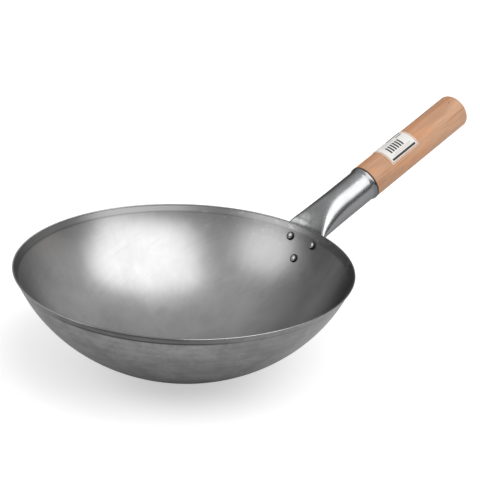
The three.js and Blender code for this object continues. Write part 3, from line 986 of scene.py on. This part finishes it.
def rivet_steel():
    """Smooth pressed heads with small dents, and painted shade round their sides."""
    steel = new_finish("rivet_steel")
    place = steel.place()
    x, y, _ = steel.split(place)
    facing_x, facing_y, facing_z = steel.split(steel.facing())
    facing_out = (facing_x * x + facing_y * y) / (x * x + y * y) ** 0.5
    wall_out, wall_up = wall_normal(BOWL_DEPTH - (RIVET_ROW_DROP + LOWER_RIVET_DROP) / 2)
    outwards = facing_out * wall_out + facing_z * wall_up
    # Painted shade round the sides of the heads
    shade_ring = steel.rise(outwards, -0.95, -0.8) * steel.rise(outwards, 0.1, -0.1)
    spots = steel.noise(place, scale=700, detail=2)
    colour = steel.blend(steel.rise(spots, 0.3, 0.7), *RIVET_STEEL)
    return steel.surface({
        "Base Color": steel.blend(shade_ring, colour, RIVET_PAINTED_SHADE),
        "Metallic": 1 - shade_ring,
        "Roughness": 0.24 + spots * 0.06 + shade_ring * 0.3,
        "Specular IOR Level": 0.2,
        "Normal": steel.relief(spots, RIVET_RELIEF),
    })


def nail_steel():
    """Drawn wire with a dull skin."""
    steel = new_finish("nail_steel")
    spots = steel.noise(steel.place(), scale=900, roughness=0.6)
    colour = steel.blend(steel.rise(spots, 0.35, 0.65), *NAIL_STEEL)
    return steel.surface({"Base Color": colour, "Metallic": 1, "Roughness": 0.28 + spots * 0.15})


def grip_wood():
    """Pale sanded wood: soft streaks, dark veins in places, fine pores, warm patches and a small knot."""
    wood = new_finish("sanded_grip_wood")
    handle = handle_place(wood)
    along, side, up = handle
    streaks = handle_noise(wood, handle, 7, 75, detail=4, roughness=0.55, distortion=0.4)
    patches = handle_noise(wood, handle, 18, 40, roughness=0.55, distortion=0.6)
    heart_lines = handle_noise(wood, handle, 9, 260, roughness=0.6, distortion=0.5)
    heartwood = wood.rise(side + up * 0.4, *HEARTWOOD_SIDE)
    heart_streaks = wood.rise(heart_lines, 0.46, 0.6) * heartwood
    vein_lines = handle_noise(wood, handle, 12, 380, roughness=0.6, distortion=0.3)
    vein_places = handle_noise(wood, handle, 11, 45, detail=2)
    veins = wood.rise(vein_lines, 0.48, 0.68) * wood.rise(vein_places, 0.44, 0.6)
    fibres = handle_noise(wood, handle, 60, 1500, roughness=0.6)
    pores = wood.rise(handle_noise(wood, handle, 220, 2600, detail=1), 0.66, 0.76)
    knot = wood.rise(distance_from(along, side, KNOT_ALONG, KNOT_SIDE), *KNOT_RADIUS) * (up > 0)
    shoulder = wood.rise(along - SOCKET_LENGTH, *SHADE_PAST_MOUTH)
    colour = wood.coats(
        wood.blend(wood.rise(streaks, 0.35, 0.65), *GRIP_WOOD),
        (wood.rise(patches, 0.5, 0.7) * 0.75, WARM_PATCH),
        (heart_streaks * 0.8, HEART_STREAK),
        (veins * 0.5, WOOD_VEIN),
        (wood.rise(fibres, 0.45, 0.7) * 0.3, WOOD_FIBRE),
        (pores * 0.35, WOOD_PORE),
        (knot * 0.8, WOOD_KNOT),
        (shoulder * 0.85, SHOULDER_SHADE),
    )
    return wood.surface({
        "Base Color": colour,
        "Roughness": 0.5 + fibres * 0.12,
        "Specular IOR Level": 0.35,
        "Normal": wood.relief(fibres - pores * 0.8, WOOD_RELIEF),
    })


def label_paper():
    """White paper with plain printed bands and even bars."""
    paper = new_finish("label_paper")
    along, side, up = handle_place(paper)
    angle = paper.add("ShaderNodeMath", {"operation": "ARCTAN2"}, {0: side, 1: up})
    across = (angle - LABEL_ANGLE) * GRIP_RADIUS / MM
    length = (along - SOCKET_LENGTH - LABEL_FROM_MOUTH) / MM
    fibres = paper.noise(paper.place(), scale=2500, roughness=0.6)

    def between(value, low, high):
        """1 between two values, with soft edges."""
        above = paper.rise(value, low - PRINT_SOFTNESS, low + PRINT_SOFTNESS)
        below = paper.rise(value, high + PRINT_SOFTNESS, high - PRINT_SOFTNESS)
        return above * below

    def panel(start, end, low, high):
        """1 inside a rectangle, in millimetres along the label and across it."""
        return between(length, start, end) * between(across, low, high)

    stripe = paper.add("ShaderNodeMath", {"operation": "PINGPONG"}, {0: length, 1: BAR_PITCH / 2})
    colour = paper.coats(
        paper.blend(fibres, *LABEL_PAPER),
        (panel(*FRAME_OUTSIDE) - panel(*FRAME_INSIDE), FRAME_PRINT),
        (sum(panel(*rule) for rule in GREY_RULES) * 0.6, RULE_PRINT),
        (paper.rise(stripe, *BAR_START) * panel(*BAR_FIELD), DARK_PRINT),
        (sum(panel(*band) for band in DARK_BANDS), DARK_PRINT),
    )
    return paper.surface({
        "Base Color": colour,
        "Roughness": 0.55,
        "Normal": paper.relief(fibres, PAPER_RELIEF),
    })


def make_pieces():
    bowl = make_bowl()
    cut(bowl, [rivet_hole(*place) for place in RIVETS.values()])
    finish_piece(bowl, "wok_bowl", bowl_steel())
    finish_piece(make_socket(), "handle_socket", socket_steel())
    heads = rivet_steel()
    for name, place in RIVETS.items():
        finish_piece(make_rivet(name + "_head", *place), name, heads)
    finish_piece(make_grip(), "wood_grip", grip_wood())
    finish_piece(make_nail(), "grip_nail", nail_steel())
    finish_piece(make_label(), "paper_label", label_paper())


# Stage

def make_floor():
    """A pale floor whose colour carries on as a white background, with the wok's shadow on it."""
    reach = FLOOR_REACH
    corners = [(-reach, -reach), (reach, -reach), (reach, reach), (-reach, reach)]
    floor = mesh_object("floor", [(x, y, -FLOOR_DROP) for x, y in corners], [(0, 1, 2, 3)])
    pale = new_finish("pale_floor")
    grain = pale.noise(pale.place(), scale=3, detail=2)
    matt = pale.add("ShaderNodeBsdfDiffuse", None, {"Color": pale.blend(grain, *PALE_FLOOR)})
    path = pale.add("ShaderNodeLightPath")
    x, y, _ = pale.split(pale.place())
    # Painted shadow under the bowl: the glow seen in reflections fades near its axis
    clear = pale.rise((x * x + y * y) ** 0.5, *REFLECTED_GLOW)
    mirrored = path.out("Is Glossy Ray") + path.out("Is Transmission Ray")
    seen = path.out("Is Camera Ray") + mirrored * clear
    glow = pale.add("ShaderNodeEmission", None, {"Color": seen * FLOOR_GLOW})
    both = pale.add("ShaderNodeAddShader", None, {0: matt, 1: glow})
    pale.add("ShaderNodeOutputMaterial", None, {"Surface": both})
    floor.data.materials.append(pale.owner)


def softbox(name, shape, azimuth, elevation, size, watts, turn=0, mirrored=True):
    """A lamp that faces the middle of the rim, its angles in degrees. Steel shows it if mirrored."""
    around = math.radians(azimuth)
    above = math.radians(elevation)
    level = math.cos(above)
    away = Vector((math.cos(around) * level, math.sin(around) * level, math.sin(above)))
    lamp = bpy.data.lights.new(name, "AREA")
    lamp.shape = shape
    lamp.size = size[0]
    lamp.size_y = size[1]
    lamp.energy = watts
    obj = bpy.data.objects.new(name, lamp)
    place = Matrix.Translation(Vector((0, 0, BOWL_DEPTH)) + away * LAMP_DISTANCE)
    aim = (-away).to_track_quat("-Z", "Y").to_matrix().to_4x4()
    obj.matrix_world = place @ aim @ Matrix.Rotation(math.radians(turn), 4, "Z")
    obj.visible_glossy = mirrored
    bpy.context.scene.collection.objects.link(obj)


def make_light():
    """Softboxes in a grey room that is palest overhead. The steel doesn't mirror the fill."""
    softbox("key_softbox", "RECTANGLE", azimuth=-80, elevation=57, size=(3.1, 3.7), watts=68, turn=55)
    softbox("side_softbox", "ELLIPSE", azimuth=155, elevation=36, size=(2.2, 1.9), watts=14)
    softbox("edge_softbox", "ELLIPSE", azimuth=-2, elevation=20, size=(3, 2), watts=4.2)
    softbox("right_fill", "ELLIPSE", azimuth=-30, elevation=12, size=(3, 2), watts=11, mirrored=False)
    softbox("left_fill", "ELLIPSE", azimuth=140, elevation=25, size=(3, 2), watts=16, mirrored=False)
    world = bpy.data.worlds.new("studio")
    bpy.context.scene.world = world
    room = Finish(world)
    _, back, up = room.split(room.add("ShaderNodeTexCoord").out("Generated"))
    tone = room.blend(room.rise(up - back * ROOM_SLANT, 0, 1), *ROOM_TONE)
    background = room.add("ShaderNodeBackground", None, {"Color": tone})
    room.add("ShaderNodeOutputWorld", None, {"Surface": background})


def make_camera():
    """A long lens that looks down at the bowl, with the handle to the right."""
    level = math.cos(CAMERA_ELEVATION)
    back = Vector((
        math.sin(CAMERA_AZIMUTH) * level,
        -math.cos(CAMERA_AZIMUTH) * level,
        math.sin(CAMERA_ELEVATION),
    ))
    flat_right = Vector((math.cos(CAMERA_AZIMUTH), math.sin(CAMERA_AZIMUTH), 0))
    right = Matrix.Rotation(CAMERA_ROLL, 3, back) @ flat_right
    up = back.cross(right)
    centre = Vector((0, 0, BOWL_DEPTH)) + AIM_RIGHT * right + AIM_UP * up + CAMERA_DISTANCE * back
    lens = bpy.data.cameras.new("camera")
    lens.lens = LENS_MM
    lens.clip_start = CAMERA_NEAR
    camera = bpy.data.objects.new("camera", lens)
    camera.matrix_world = Matrix.Translation(centre) @ Matrix((right, up, back)).transposed().to_4x4()
    bpy.context.scene.collection.objects.link(camera)
    bpy.context.scene.camera = camera


make_pieces()
make_floor()
make_light()
make_camera()
bpy.context.scene.view_settings.view_transform = "Standard"
